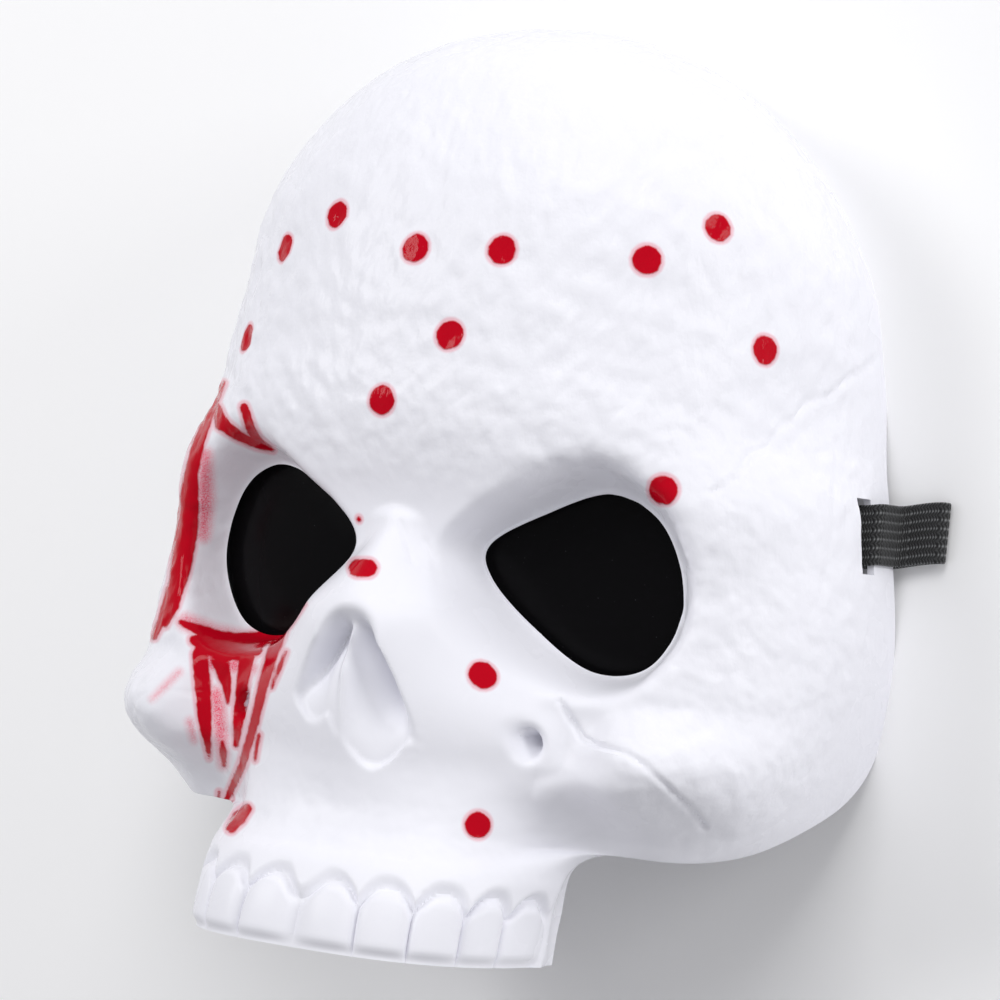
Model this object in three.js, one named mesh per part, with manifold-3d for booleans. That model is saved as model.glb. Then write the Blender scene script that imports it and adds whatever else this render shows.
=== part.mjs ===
// Skull mask: a thin moulded face from crown to upper teeth, with film covers behind
// the eye openings and an elastic strap, lying face up on its rim.
// Millimetres. X points to the wearer's left, Y to the crown, Z out of the face.
import * as THREE from 'three';
import { mergeVertices } from 'three/addons/utils/BufferGeometryUtils.js';
import Module from 'manifold-3d';

const wasm = await Module();
wasm.setup();

// Driving dimensions
const maskHeight = 217; // tooth edge to crown
const maskWidth = 178.6; // across the side rims
const maskDepth = 101.5; // rest plane to the front teeth
const wall = 1.8;
const eyeWidth = 46;
const eyeHeight = 41;
const eyeLip = 0.6; // flat edge left inside the socket wall
const edgePull = 2.1; // grid points this near a socket edge are moved onto it
const filmThickness = 0.6;
const filmMargin = 3.5; // film past the edge of the opening
const strapWidth = 14;
const strapThickness = 1;
const strapLoopReach = 12; // sewn loop past the side rim
const strapTail = 7; // sewn tail past the side rim
const slotLength = 17;
const slotHeight = 2.4;
const slotAboveFloor = 14;
const toothBulge = 2.4;
const rootBulge = 1.2;
const browSwell = 2;
const cheekSwell = 9.5;
const noseRecess = 12;
const noseWall = 4; // slope at the edge of the nose opening
const noseBlend = 5; // round between the nasal bones and the face
const noseWallShare = 1.3; // wall measured along Z on the steep nasal bones
const septumHalf = 1.6;
const spineHalf = 8; // wedge of bone the septum spreads into
const clearance = 0.3;

const halfWidth = maskWidth / 2;
const rimLift = 2 * (strapThickness + clearance) + 0.8; // lets the strap pass below the rim
const slotRow = 0.479; // height share of the strap
const up = (v) => (v - 0.5) * maskHeight;

// Sections from the crown to the tooth edge. Each runs from the middle of the face
// (front) to the rim. Heights are shares of maskHeight from the tooth edge, depths of
// maskDepth, out of halfWidth. full is the exponent of the section's round.
const sections = [
  { frontUp: 1, frontDeep: 0, rimUp: 1, rimDeep: 0, rimOut: 0, full: 2, steps: 3 },
  { frontUp: 0.982, frontDeep: 0.355, rimUp: 0.959, rimDeep: 0, rimOut: 0.347, full: 2.2, steps: 2 },
  { frontUp: 0.926, frontDeep: 0.591, rimUp: 0.871, rimDeep: 0, rimOut: 0.627, full: 2.3, steps: 2 },
  { frontUp: 0.816, frontDeep: 0.739, rimUp: 0.751, rimDeep: 0, rimOut: 0.823, full: 2.35, steps: 2 },
  { frontUp: 0.687, frontDeep: 0.798, rimUp: 0.65, rimDeep: 0, rimOut: 0.89, full: 2.25, steps: 3 },
  { frontUp: 0.594, frontDeep: 0.808, rimUp: 0.558, rimDeep: 0, rimOut: 0.93, full: 2.3, steps: 4 },
  { frontUp: 0.502, frontDeep: 0.788, rimUp: 0.479, rimDeep: 0, rimOut: 0.974, full: 2.45, steps: 5 },
  { frontUp: 0.419, frontDeep: 0.759, rimUp: 0.401, rimDeep: 0, rimOut: 0.997, full: 2.8, steps: 5 },
  { frontUp: 0.346, frontDeep: 0.729, rimUp: 0.318, rimDeep: 0, rimOut: 1, full: 3.3, steps: 5 },
  { frontUp: 0.281, frontDeep: 0.719, rimUp: 0.244, rimDeep: 0, rimOut: 0.98, full: 4, steps: 3 },
  { frontUp: 0.23, frontDeep: 0.719, rimUp: 0.194, rimDeep: 0.079, rimOut: 0.952, full: 4, steps: 2 },
  { frontUp: 0.194, frontDeep: 0.739, rimUp: 0.157, rimDeep: 0.236, rimOut: 0.907, full: 3.2, steps: 2 },
  { frontUp: 0.166, frontDeep: 0.759, rimUp: 0.131, rimDeep: 0.365, rimOut: 0.84, full: 2, steps: 2 },
  { frontUp: 0.143, frontDeep: 0.788, rimUp: 0.12, rimDeep: 0.483, rimOut: 0.75, full: 1.3, steps: 1 },
  { frontUp: 0.124, frontDeep: 0.828, rimUp: 0.12, rimDeep: 0.542, rimOut: 0.65, full: 1.1, steps: 1 },
  { frontUp: 0.106, frontDeep: 0.867, rimUp: 0.12, rimDeep: 0.571, rimOut: 0.549, full: 1.4, steps: 2 },
  { frontUp: 0.083, frontDeep: 0.936, rimUp: 0.101, rimDeep: 0.562, rimOut: 0.476, full: 2.2, steps: 3 },
  { frontUp: 0.051, frontDeep: 0.975, rimUp: 0.06, rimDeep: 0.542, rimOut: 0.448, full: 2.8, steps: 5 },
  { frontUp: 0, frontDeep: 1, rimUp: 0, rimDeep: 0.532, rimOut: 0.442, full: 3, steps: 0 },
];

// The profile of the nasal bones and the upper jaw down the middle of the face
const middle = [
  { at: -0.014, deep: 0.995 },
  { at: 0.032, deep: 0.985 },
  { at: 0.069, deep: 0.956 },
  { at: 0.106, deep: 0.916 },
  { at: 0.143, deep: 0.887 },
  { at: 0.18, deep: 0.892 },
  { at: 0.217, deep: 0.911 },
  { at: 0.272, deep: 0.936 },
  { at: 0.323, deep: 0.951 },
  { at: 0.35, deep: 0.931 },
  { at: 0.392, deep: 0.862 },
  { at: 0.433, deep: 0.798 },
  { at: 0.475, deep: 0.778 },
];

// Half width of the nose opening by height
const noseOpening = [
  { at: 0.177, deep: 0 },
  { at: 0.184, deep: 0.112 },
  { at: 0.194, deep: 0.168 },
  { at: 0.207, deep: 0.196 },
  { at: 0.23, deep: 0.194 },
  { at: 0.267, deep: 0.151 },
  { at: 0.309, deep: 0.096 },
  { at: 0.332, deep: 0.054 },
  { at: 0.343, deep: 0 },
];

// Outline of an eye opening about its middle, as shares of its half width and half
// height, anticlockwise from the temple. flare is the width of the socket wall there.
const eye = { out: 0.426, up: 0.396, deep: 0.573, wrap: -0.2, tilt: 0.1 };
const eyeOutline = [
  { out: 1, up: -0.15, flare: 9 },
  { out: 0.78, up: 0.66, flare: 9 },
  { out: 0.25, up: 0.98, flare: 9 },
  { out: -0.42, up: 0.7, flare: 4 },
  { out: -0.97, up: 0.3, flare: 3 },
  { out: -0.94, up: -0.08, flare: 4 },
  { out: -0.5, up: -0.56, flare: 6 },
  { out: 0.15, up: -0.98, flare: 6 },
  { out: 0.72, up: -0.84, flare: 8 },
];

// Swellings and hollows: middle and reach as shares of halfWidth (out, wide) and
// maskHeight (up, tall), push in millimetres
const features = {
  browCorner: { out: 0.806, up: 0.484, wide: 0.19, tall: 0.078, push: 1.6 },
  temple: { out: 0.873, up: 0.585, wide: 0.157, tall: 0.101, push: -2 },
  cheekHollow: { out: 0.56, up: 0.143, wide: 0.146, tall: 0.055, push: -4 },
  cheekPit: { out: 0.426, up: 0.226, wide: 0.05, tall: 0.025, push: -3 },
};
const brow = { up: 0.539, sink: 0.065, tall: 0.092, from: 0.74, to: 0.94 };
const cheekbone = { up: 0.212, tall: 0.069, from: 0.49, to: 0.74 };
const gumLine = { up: 0.067, arch: 0.016, step: 0.01, crown: 2.6 };
const toothRoot = { up: 0.097, tall: 0.041 };
const rimNotch = { tall: 0.138, from: 0.85 };

// Side fall of the nasal bones and of the upper jaw, and where one turns into the other
const nasal = { spread: 0.168, fall: 0.197, power: 1.7, side: 0.5, sideFall: 2.5 };
const nasalWiden = [
  { from: 0.419, to: 0.336, by: 0.123 },
  { from: 0.336, to: 0.217, by: 0.179 },
];
const nasalRoot = { from: 0.438, to: 0.475, sink: 0.118 };
const jaw = { from: 0.207, to: 0.124, half: 0.442, power: 2.8, fall: 0.443, sideFall: 4.65 };
const noseFloor = { up: 0.212, sag: 0.03, half: 0.168, reach: 0.092 };
const septum = { keep: 0.95, dip: 0.25, dipUp: 0.309, dipTall: 0.055, from: 0.258, to: 0.203 };

// Tooth bounds from the middle of the jaw to its end, with the columns on each tooth
const teeth = [
  { from: 0, to: 0.14, columns: 6 },
  { from: 0.14, to: 0.335, columns: 5 },
  { from: 0.335, to: 0.555, columns: 5 },
  { from: 0.555, to: 0.75, columns: 3 },
  { from: 0.75, to: 0.935, columns: 3 },
  { from: 0.935, to: 1, columns: 1 },
];

const clamp = (value, low, high) => Math.min(high, Math.max(low, value));

function smooth(from, to, value) {
  const t = clamp((value - from) / (to - from), 0, 1);
  return t * t * (3 - 2 * t);
}

function bell(distance) {
  const t = Math.max(0, 1 - distance * distance);
  return t * t;
}

function bump({ out, up: middleUp, wide, tall, push }, atOut, atUp) {
  return push * bell(Math.hypot((atOut - out) / wide, (atUp - middleUp) / tall));
}

function softMax(a, b, reach) {
  const h = clamp(0.5 + (0.5 * (a - b)) / reach, 0, 1);
  return b + (a - b) * h + reach * h * (1 - h);
}

function spline(a, b, c, d, t) {
  const square = 2 * a - 5 * b + 4 * c - d;
  const cube = -a + 3 * b - 3 * c + d;
  return 0.5 * (2 * b + (c - a) * t + square * t * t + cube * t * t * t);
}

// A smooth curve through a table whose at values rise
function curve(table, at) {
  const last = table.length - 1;
  const value = clamp(at, table[0].at, table[last].at);
  let i = 0;
  while (i < last - 1 && value > table[i + 1].at) i += 1;
  const slope = (k) => {
    const low = table[Math.max(k - 1, 0)];
    const high = table[Math.min(k + 1, last)];
    return (high.deep - low.deep) / (high.at - low.at);
  };
  const span = table[i + 1].at - table[i].at;
  const t = (value - table[i].at) / span;
  const rise = t * t * (3 - 2 * t);
  const leave = t * (1 - t) * (1 - t) * span * slope(i);
  const arrive = t * t * (t - 1) * span * slope(i + 1);
  return table[i].deep * (1 - rise) + table[i + 1].deep * rise + leave + arrive;
}

// The plain form before the features: row runs down the sections, across from -1 to 1
function loft(row, across) {
  const last = sections.length - 1;
  const i = Math.min(Math.floor(row), last - 1);
  const pole = sections[1];
  const section = (k) => {
    if (k < 0) return { ...pole, frontDeep: -pole.frontDeep, rimOut: -pole.rimOut };
    return sections[Math.min(k, last)];
  };
  const blend = (column) => spline(
    section(i - 1)[column], section(i)[column], section(i + 1)[column], section(i + 2)[column], row - i);
  const angle = (Math.abs(across) * Math.PI) / 2;
  const power = 2 / blend('full');
  const share = Math.max(0, Math.cos(angle)) ** power;
  const rimUp = blend('rimUp');
  const rimDeep = Math.max(0, blend('rimDeep'));
  return new THREE.Vector3(
    Math.sign(across) * blend('rimOut') * halfWidth * Math.sin(angle) ** power,
    up(rimUp + (blend('frontUp') - rimUp) * share),
    maskDepth * (rimDeep + (blend('frontDeep') - rimDeep) * share));
}

function loftNormal(row, across) {
  const step = 0.004;
  const lowRow = Math.max(row - step, 0.02);
  const highRow = Math.min(row + step, sections.length - 1.001);
  const low = clamp(across - step, -0.998, 0.998);
  const high = clamp(across + step, -0.998, 0.998);
  const along = loft(highRow, (low + high) / 2).sub(loft(lowRow, (low + high) / 2));
  const side = loft((lowRow + highRow) / 2, high).sub(loft((lowRow + highRow) / 2, low));
  return along.cross(side).normalize();
}

// Opening edge and socket flare at an angle about the middle of the eye
const eyeCurve = Array.from({ length: 360 }, (_, k) => {
  const s = (k / 360) * eyeOutline.length;
  const i = Math.floor(s);
  const point = (n) => eyeOutline[(n + eyeOutline.length) % eyeOutline.length];
  const blend = (name) => spline(
    point(i - 1)[name], point(i)[name], point(i + 1)[name], point(i + 2)[name], s - i);
  const x = (blend('out') * eyeWidth) / 2;
  const y = (blend('up') * eyeHeight) / 2;
  return { x, y, angle: Math.atan2(y, x), radius: Math.hypot(x, y), flare: blend('flare') };
});

// Distance from the opening edge, and the flare of the socket wall there
function socketPlace(x, y) {
  const dx = x - eye.out * halfWidth;
  const dy = y - up(eye.up);
  const angle = Math.atan2(dy, dx);
  let nearest = eyeCurve[0];
  let best = Infinity;
  for (const point of eyeCurve) {
    const turn = Math.abs(Math.atan2(Math.sin(point.angle - angle), Math.cos(point.angle - angle)));
    if (turn < best) {
      best = turn;
      nearest = point;
    }
  }
  return { past: Math.hypot(dx, dy) - nearest.radius, flare: nearest.flare, angle };
}

function filmPlane(x, y) {
  return eye.deep * maskDepth + eye.wrap * (x - eye.out * halfWidth) + eye.tilt * (y - up(eye.up));
}

// A point of the shell. grow is 0 on the outer skin and the wall on the inner one, where
// the recesses are wider by the wall and the teeth are left out.
function skinPoint(row, across, grow) {
  const point = loft(row, across);
  const normal = loftNormal(row, across);
  const toothEdge = row === sections.length - 1;
  if (toothEdge) normal.setY(0).normalize();
  const inner = grow > 0;
  const edge = 1 - smooth(0.8, 0.97, Math.abs(across));
  let out = Math.abs(point.x) / halfWidth;
  let high = point.y / maskHeight + 0.5;

  // Brow, its outer corner and the hollow of the temple
  const browLine = brow.up - brow.sink * smooth(cheekbone.from, features.browCorner.out, out);
  let swell = browSwell * bell((high - browLine) / brow.tall) * (1 - smooth(brow.from, brow.to, out));
  swell += bump(features.browCorner, out, high) + edge * bump(features.temple, out, high);

  // Teeth under an arched gum line, and the swellings over their roots
  const place = clamp(Math.abs(across), 0, 1);
  const tooth = teeth.find((t) => place <= t.to) ?? teeth[teeth.length - 1];
  const beside = (2 * (place - tooth.from)) / (tooth.to - tooth.from) - 1;
  const round = 1 - beside * beside;
  if (!inner && high < toothRoot.up + toothRoot.tall) {
    const gum = gumLine.up - gumLine.arch * beside * beside;
    const crown = Math.sqrt(Math.max(0, 1 - Math.abs(beside) ** gumLine.crown));
    swell += toothBulge * smooth(0, gumLine.step, gum - high) * crown;
    swell += rootBulge * round * bell((high - toothRoot.up) / toothRoot.tall);
  }
  if (row > 0) point.addScaledVector(normal, swell);
  if (inner) {
    const flat = smooth(0, 0.05, point.z / maskDepth);
    if (Math.abs(across) === 1) normal.set(normal.x, normal.y, normal.z * flat).normalize();
    if (row === 0) normal.set(0, 1, 0);
    point.addScaledVector(normal, -grow);
  }

  // Cheekbone, hollow below it and the lift of the rim over the strap
  out = Math.abs(point.x) / halfWidth;
  high = point.y / maskHeight + 0.5;
  const x = Math.abs(point.x);
  let z = point.z;
  const cheek = bell((high - cheekbone.up) / cheekbone.tall);
  z += cheekSwell * cheek * smooth(cheekbone.from, cheekbone.to, out) * edge;
  z += rimLift * bell((high - slotRow) / rimNotch.tall) * smooth(rimNotch.from, 1, Math.abs(across));

  // Nasal bones widening into the upper jaw
  const toJaw = smooth(jaw.from, jaw.to, high);
  let spread = nasal.spread;
  for (const widen of nasalWiden) spread += widen.by * smooth(widen.from, widen.to, high);
  const jawRound = 1 - Math.max(0, 1 - (out / jaw.half) ** jaw.power) ** (1 / jaw.power);
  const jawDrop = jaw.fall * jawRound + jaw.sideFall * Math.max(0, out - jaw.half);
  const beyond = Math.max(0, out - nasal.side);
  const cheekDrop = nasal.fall * (out / spread) ** nasal.power + nasal.sideFall * beyond;
  const drop = cheekDrop * (1 - toJaw) + jawDrop * toJaw;
  const root = nasalRoot.sink * smooth(nasalRoot.from, nasalRoot.to, high);
  const ridge = maskDepth * (curve(middle, high) - drop - root) - noseWallShare * grow;
  if (high < nasalRoot.to && row > 0) z = softMax(z, ridge, noseBlend);
  z += bump(features.cheekHollow, out, high) + bump(features.cheekPit, out, high);

  // Eye socket down to the film plane
  const socket = socketPlace(x, point.y);
  let past = socket.past - grow;
  const nearEdge = past < socket.flare / 2 ? 0 : socket.flare;
  if (Math.abs(past - nearEdge) < edgePull) {
    const move = nearEdge - past;
    point.x += Math.sign(point.x) * move * Math.cos(socket.angle);
    point.y += move * Math.sin(socket.angle);
    past = nearEdge;
  }
  const film = filmPlane(Math.abs(point.x), point.y) - grow;
  if (past < socket.flare) z = film + (z - film) * smooth(0, socket.flare, past) ** 0.8;

  // Nose opening with its septum and floor
  const opening = curve(noseOpening, high);
  const half = opening * halfWidth + grow * clamp(opening / 0.03, 0, 1);
  const sag = noseFloor.sag * Math.sin(clamp(out / noseFloor.half, 0, 1) * Math.PI);
  const above = high - noseFloor.up + sag;
  const recess = noseRecess * smooth(0, noseWall, half - x) * smooth(0, noseFloor.reach, above);
  const septumWide = septumHalf + spineHalf * smooth(septum.from, septum.to, high);
  const keep = septum.keep - septum.dip * bell((high - septum.dipUp) / septum.dipTall);
  z -= recess * (1 - (inner ? 0 : keep * bell(x / septumWide)));
  point.z = z;
  return point;
}

function solidOf(geometry) {
  const bare = geometry.index ? geometry.clone() : geometry;
  bare.deleteAttribute('normal');
  bare.deleteAttribute('uv');
  const merged = mergeVertices(bare, 1e-4);
  return new wasm.Manifold(new wasm.Mesh({
    numProp: 3,
    vertProperties: new Float32Array(merged.attributes.position.array),
    triVerts: new Uint32Array(merged.index.array),
  }));
}

function geometryOf(solid) {
  const mesh = solid.getMesh();
  const geometry = new THREE.BufferGeometry();
  geometry.setAttribute('position', new THREE.BufferAttribute(new Float32Array(mesh.vertProperties), 3));
  geometry.setIndex(new THREE.BufferAttribute(new Uint32Array(mesh.triVerts), 1));
  geometry.computeVertexNormals();
  return geometry;
}

// Both skins over one grid, joined along the rim and the tooth edge
function shellGeometry() {
  const rows = [];
  sections.forEach((section, i) => {
    for (let k = 0; k < section.steps; k += 1) rows.push(i + k / section.steps);
  });
  rows.push(sections.length - 1);
  const half = [0];
  for (const tooth of teeth) {
    for (let k = 1; k <= tooth.columns; k += 1) {
      half.push(tooth.from + ((tooth.to - tooth.from) * k) / tooth.columns);
    }
  }
  const columns = [...half.slice(1).reverse().map((u) => -u), ...half];
  const wide = columns.length;
  const positions = [];
  for (const grow of [0, wall]) {
    for (const row of rows) {
      for (const across of columns) positions.push(...skinPoint(row, across, grow).toArray());
    }
  }
  const inside = rows.length * wide;
  const index = [];
  const apart = (a, b) => Math.hypot(
    positions[3 * a] - positions[3 * b],
    positions[3 * a + 1] - positions[3 * b + 1],
    positions[3 * a + 2] - positions[3 * b + 2]);
  const quad = (a, b, c, d) => {
    if (apart(a, c) < apart(b, d)) index.push(a, b, c, a, c, d);
    else index.push(a, b, d, b, c, d);
  };
  for (let r = 0; r < rows.length - 1; r += 1) {
    for (let c = 0; c < wide - 1; c += 1) {
      const at = r * wide + c;
      const back = inside + at;
      quad(at, at + wide, at + wide + 1, at + 1);
      quad(back, back + 1, back + wide + 1, back + wide);
    }
    const left = r * wide;
    const right = left + wide - 1;
    quad(left, inside + left, inside + left + wide, left + wide);
    quad(right, right + wide, inside + right + wide, inside + right);
  }
  const bottom = (rows.length - 1) * wide;
  for (let c = 0; c < wide - 1; c += 1) {
    quad(bottom + c, inside + bottom + c, inside + bottom + c + 1, bottom + c + 1);
  }
  const geometry = new THREE.BufferGeometry();
  geometry.setAttribute('position', new THREE.Float32BufferAttribute(positions, 3));
  geometry.setIndex(index);
  return geometry;
}

// The eye outline moved outwards by an offset, as a shape about the middle of the eye
function eyeShape(offset, side, points) {
  const outline = Array.from({ length: points }, (_, k) => {
    const { x, y, radius } = eyeCurve[Math.round((k * eyeCurve.length) / points)];
    const scale = 1 + offset / radius;
    return new THREE.Vector2(side * x * scale, y * scale);
  });
  if (side < 0) outline.reverse();
  return new THREE.Shape(outline);
}

function eyeCutter(side) {
  const geometry = new THREE.ExtrudeGeometry(
    eyeShape(-eyeLip, side, 36), { depth: maskDepth, bevelEnabled: false });
  geometry.translate(side * eye.out * halfWidth, up(eye.up), 0.1 * maskDepth);
  return solidOf(geometry);
}

function slotCutter(side) {
  const geometry = new THREE.BoxGeometry(0.3 * halfWidth, slotLength, slotHeight);
  geometry.translate(side * halfWidth, up(slotRow), slotAboveFloor);
  return solidOf(geometry);
}

function maskShell() {
  let solid = solidOf(shellGeometry());
  for (const side of [-1, 1]) {
    solid = solid.subtract(eyeCutter(side)).subtract(slotCutter(side));
  }
  return geometryOf(solid);
}

// A flat film panel behind one eye opening, in the plane of the opening
function eyeCover(side) {
  const geometry = new THREE.ExtrudeGeometry(
    eyeShape(filmMargin, side, 40), { depth: filmThickness, bevelEnabled: false });
  const position = geometry.attributes.position;
  for (let i = 0; i < position.count; i += 1) {
    const x = position.getX(i) + side * eye.out * halfWidth;
    const y = position.getY(i) + up(eye.up);
    const front = filmPlane(Math.abs(x), y) - wall - clearance;
    position.setXYZ(i, x, y, front + position.getZ(i) - filmThickness);
  }
  geometry.deleteAttribute('normal');
  geometry.deleteAttribute('uv');
  const merged = mergeVertices(geometry, 1e-4);
  merged.computeVertexNormals();
  return merged;
}

// Where the outer or inner skin of the side stands at a height above the floor, at the
// upper and lower edge of the strap
function sideAt(height, grow) {
  return [-0.5, 0.5].map((edge) => {
    const level = up(slotRow) + edge * strapWidth;
    let row = 4;
    while (skinPoint(row, 0.99, grow).y > level) row += 0.02;
    let low = 0.6;
    let high = 1;
    for (let k = 0; k < 30; k += 1) {
      const across = (low + high) / 2;
      if (skinPoint(row, across, grow).z > height) low = across;
      else high = across;
    }
    return skinPoint(row, low, grow).x;
  });
}

// A ribbon of even thickness along a line in the X-Z plane, about a middle height in Y
function ribbon(line, thickness, width, middleUp) {
  const positions = [];
  line.forEach((point, i) => {
    const before = line[Math.max(i - 1, 0)];
    const after = line[Math.min(i + 1, line.length - 1)];
    const a = point.clone().sub(before).normalize();
    const b = after.clone().sub(point).normalize();
    const along = a.clone().add(b).normalize();
    const turn = Math.max(0.6, along.dot(i > 0 ? a : b));
    const half = new THREE.Vector2(-along.y, along.x).multiplyScalar(thickness / 2 / turn);
    for (const [out, side] of [[1, 1], [1, -1], [-1, -1], [-1, 1]]) {
      positions.push(
        point.x + out * half.x, middleUp + (side * width) / 2, point.y + out * half.y);
    }
  });
  const index = [];
  const quad = (a, b, c, d) => index.push(a, b, c, a, c, d);
  for (let i = 0; i < line.length - 1; i += 1) {
    for (let k = 0; k < 4; k += 1) {
      const next = (k + 1) % 4;
      quad(4 * i + k, 4 * i + next, 4 * i + 4 + next, 4 * i + 4 + k);
    }
  }
  const end = 4 * (line.length - 1);
  quad(3, 2, 1, 0);
  quad(end, end + 1, end + 2, end + 3);
  const geometry = new THREE.BufferGeometry();
  geometry.setAttribute('position', new THREE.Float32BufferAttribute(positions, 3));
  geometry.setIndex(index);
  return geometry;
}

// The elastic lies across the floor inside the mask. At each side it runs out below the
// rim, folds back, climbs the outside, goes in through the slot and down, and its tail is
// sewn under it just past the rim.
function elasticStrap() {
  const middleHeight = strapThickness / 2;
  const outside = strapThickness / 2 + clearance;
  const rim = Math.max(...sideAt(rimLift, 0));
  const tip = rim + strapLoopReach;
  const tailHeight = middleHeight + strapThickness + clearance;
  const topHeight = tailHeight + strapThickness + clearance;
  const rimTop = rim + outside;
  const inner = Math.min(...sideAt(slotAboveFloor + slotHeight, wall)) - outside;
  const outer = Math.max(...sideAt(slotAboveFloor, 0)) + outside;
  const innerLow = Math.min(...sideAt(rimLift + 1, wall)) - outside;
  const bend = strapThickness;
  const half = [
    [tip - 1.5 * bend, middleHeight],
    [tip - 0.6 * bend, middleHeight + 0.3 * bend],
    [tip - 0.3 * bend, (middleHeight + topHeight) / 2],
    [tip - 0.6 * bend, topHeight - 0.4 * bend],
    [tip - 1.5 * bend, topHeight],
    [rimTop + 2.5 * bend, topHeight],
    [rimTop + 0.8 * bend, topHeight + 0.7 * bend],
    [rimTop + 0.1 * bend, topHeight + 2 * bend],
    [outer, slotAboveFloor - 1.2 * bend],
    [outer - 0.3 * bend, slotAboveFloor - 0.3 * bend],
    [outer - 1.2 * bend, slotAboveFloor],
    [inner + 1.2 * bend, slotAboveFloor],
    [inner + 0.3 * bend, slotAboveFloor - 0.3 * bend],
    [inner, slotAboveFloor - 1.2 * bend],
    [innerLow, tailHeight + 2 * bend],
    [innerLow + 0.4 * bend, tailHeight + 0.5 * bend],
    [innerLow + 1.6 * bend, tailHeight],
    [rim + strapTail, tailHeight],
  ];
  const points = (side) => half.map(([x, z]) => new THREE.Vector2(side * x, z));
  const line = [...points(-1).reverse(), ...points(1)];
  return geometryOf(solidOf(ribbon(line, strapThickness, strapWidth, up(slotRow))));
}

const shellMaterial = new THREE.MeshStandardMaterial({ color: 0xf1f0f2, roughness: 0.28, metalness: 0 });
const filmMaterial = new THREE.MeshStandardMaterial({ color: 0x0b0b0c, roughness: 0.22, metalness: 0 });
const strapMaterial = new THREE.MeshStandardMaterial({ color: 0x1d1e20, roughness: 0.85, metalness: 0 });

const group = new THREE.Group();
const pieces = [
  ['mask_shell', maskShell(), shellMaterial],
  ['eye_cover_left', eyeCover(1), filmMaterial],
  ['eye_cover_right', eyeCover(-1), filmMaterial],
  ['elastic_strap', elasticStrap(), strapMaterial],
];
for (const [name, geometry, material] of pieces) {
  const mesh = new THREE.Mesh(geometry, material);
  mesh.name = name;
  group.add(mesh);
}

export default group;
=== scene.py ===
import math

import bpy
import numpy as np
from mathutils import Matrix, Vector, noise
from mathutils.bvhtree import BVHTree
from mathutils.kdtree import KDTree


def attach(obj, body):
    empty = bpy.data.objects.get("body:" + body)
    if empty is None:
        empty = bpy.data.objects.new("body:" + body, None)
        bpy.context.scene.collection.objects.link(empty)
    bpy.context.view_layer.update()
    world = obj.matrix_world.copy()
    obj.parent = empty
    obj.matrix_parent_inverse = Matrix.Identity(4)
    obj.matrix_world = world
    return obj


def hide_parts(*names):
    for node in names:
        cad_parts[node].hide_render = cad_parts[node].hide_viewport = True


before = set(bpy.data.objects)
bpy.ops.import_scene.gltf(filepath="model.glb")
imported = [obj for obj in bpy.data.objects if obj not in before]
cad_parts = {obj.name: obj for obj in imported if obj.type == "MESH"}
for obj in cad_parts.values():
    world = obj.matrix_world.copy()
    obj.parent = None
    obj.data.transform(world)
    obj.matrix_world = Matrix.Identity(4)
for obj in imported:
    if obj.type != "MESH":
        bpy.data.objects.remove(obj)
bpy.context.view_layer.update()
bpy.ops.object.select_all(action="DESELECT")
MM = 0.001


# Camera
# The mask is seen from above its left cheek, a little turned in the picture, from
# most of a metre away. Paint marks are placed through this camera onto the shell.
view_turn = math.radians(30)
view_rise = math.radians(-1.2)
view_roll = math.radians(6.1)
view_distance = 850
view_target = np.array([7.0, -6.1, 45.0])
picture_side = 1000
focal_pixels = 3689

toward = np.array([
    math.sin(view_turn) * math.cos(view_rise), math.sin(view_rise),
    math.cos(view_turn) * math.cos(view_rise)])
level_right = np.array([math.cos(view_turn), 0, -math.sin(view_turn)])
level_up = np.cross(toward, level_right)
camera_right = level_right * math.cos(view_roll) + level_up * math.sin(view_roll)
camera_up = level_up * math.cos(view_roll) - level_right * math.sin(view_roll)
camera_place = view_target + toward * view_distance

camera_data = bpy.data.cameras.new("camera")
camera_data.sensor_width = 36
camera_data.lens = camera_data.sensor_width * focal_pixels / picture_side
camera_data.clip_end = 20
camera = bpy.data.objects.new("camera", camera_data)
bpy.context.collection.objects.link(camera)
turn = Matrix([camera_right, camera_up, toward]).transposed()
camera.matrix_world = Matrix.Translation(Vector(camera_place * MM)) @ turn.to_4x4()
bpy.context.scene.camera = camera


# Mask shell
# One thin moulding of glossy white plastic from the crown to the upper teeth, formed
# over a tool with the sockets, the nose opening, the teeth and the bone's sutures in
# it, and trimmed along the rim, at the eye openings and at the two strap slots.
mask_height = 217.0
mask_width = 178.6
mask_depth = 101.5
wall = 1.8
eye_width = 46.0
eye_height = 41.0
eye_lip = 0.3
tooth_bulge = 2.1
gum_bulge = 2.0
brow_swell = 2.0
cheek_swell = 9.5
nose_recess = 12.0
nose_wall = 4.0
nose_blend = 5.0
nose_wall_share = 1.3
nose_lip = 0.16
strap_width = 14.0
strap_thickness = 1.0
clearance = 0.3
strap_drop = 1.3
slot_length = 17.0
slot_height = 5.8
slot_above_floor = 14.0
slot_row = 0.479
half_width = mask_width / 2
rim_lift = 2 * (strap_thickness + clearance) + 0.8

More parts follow.
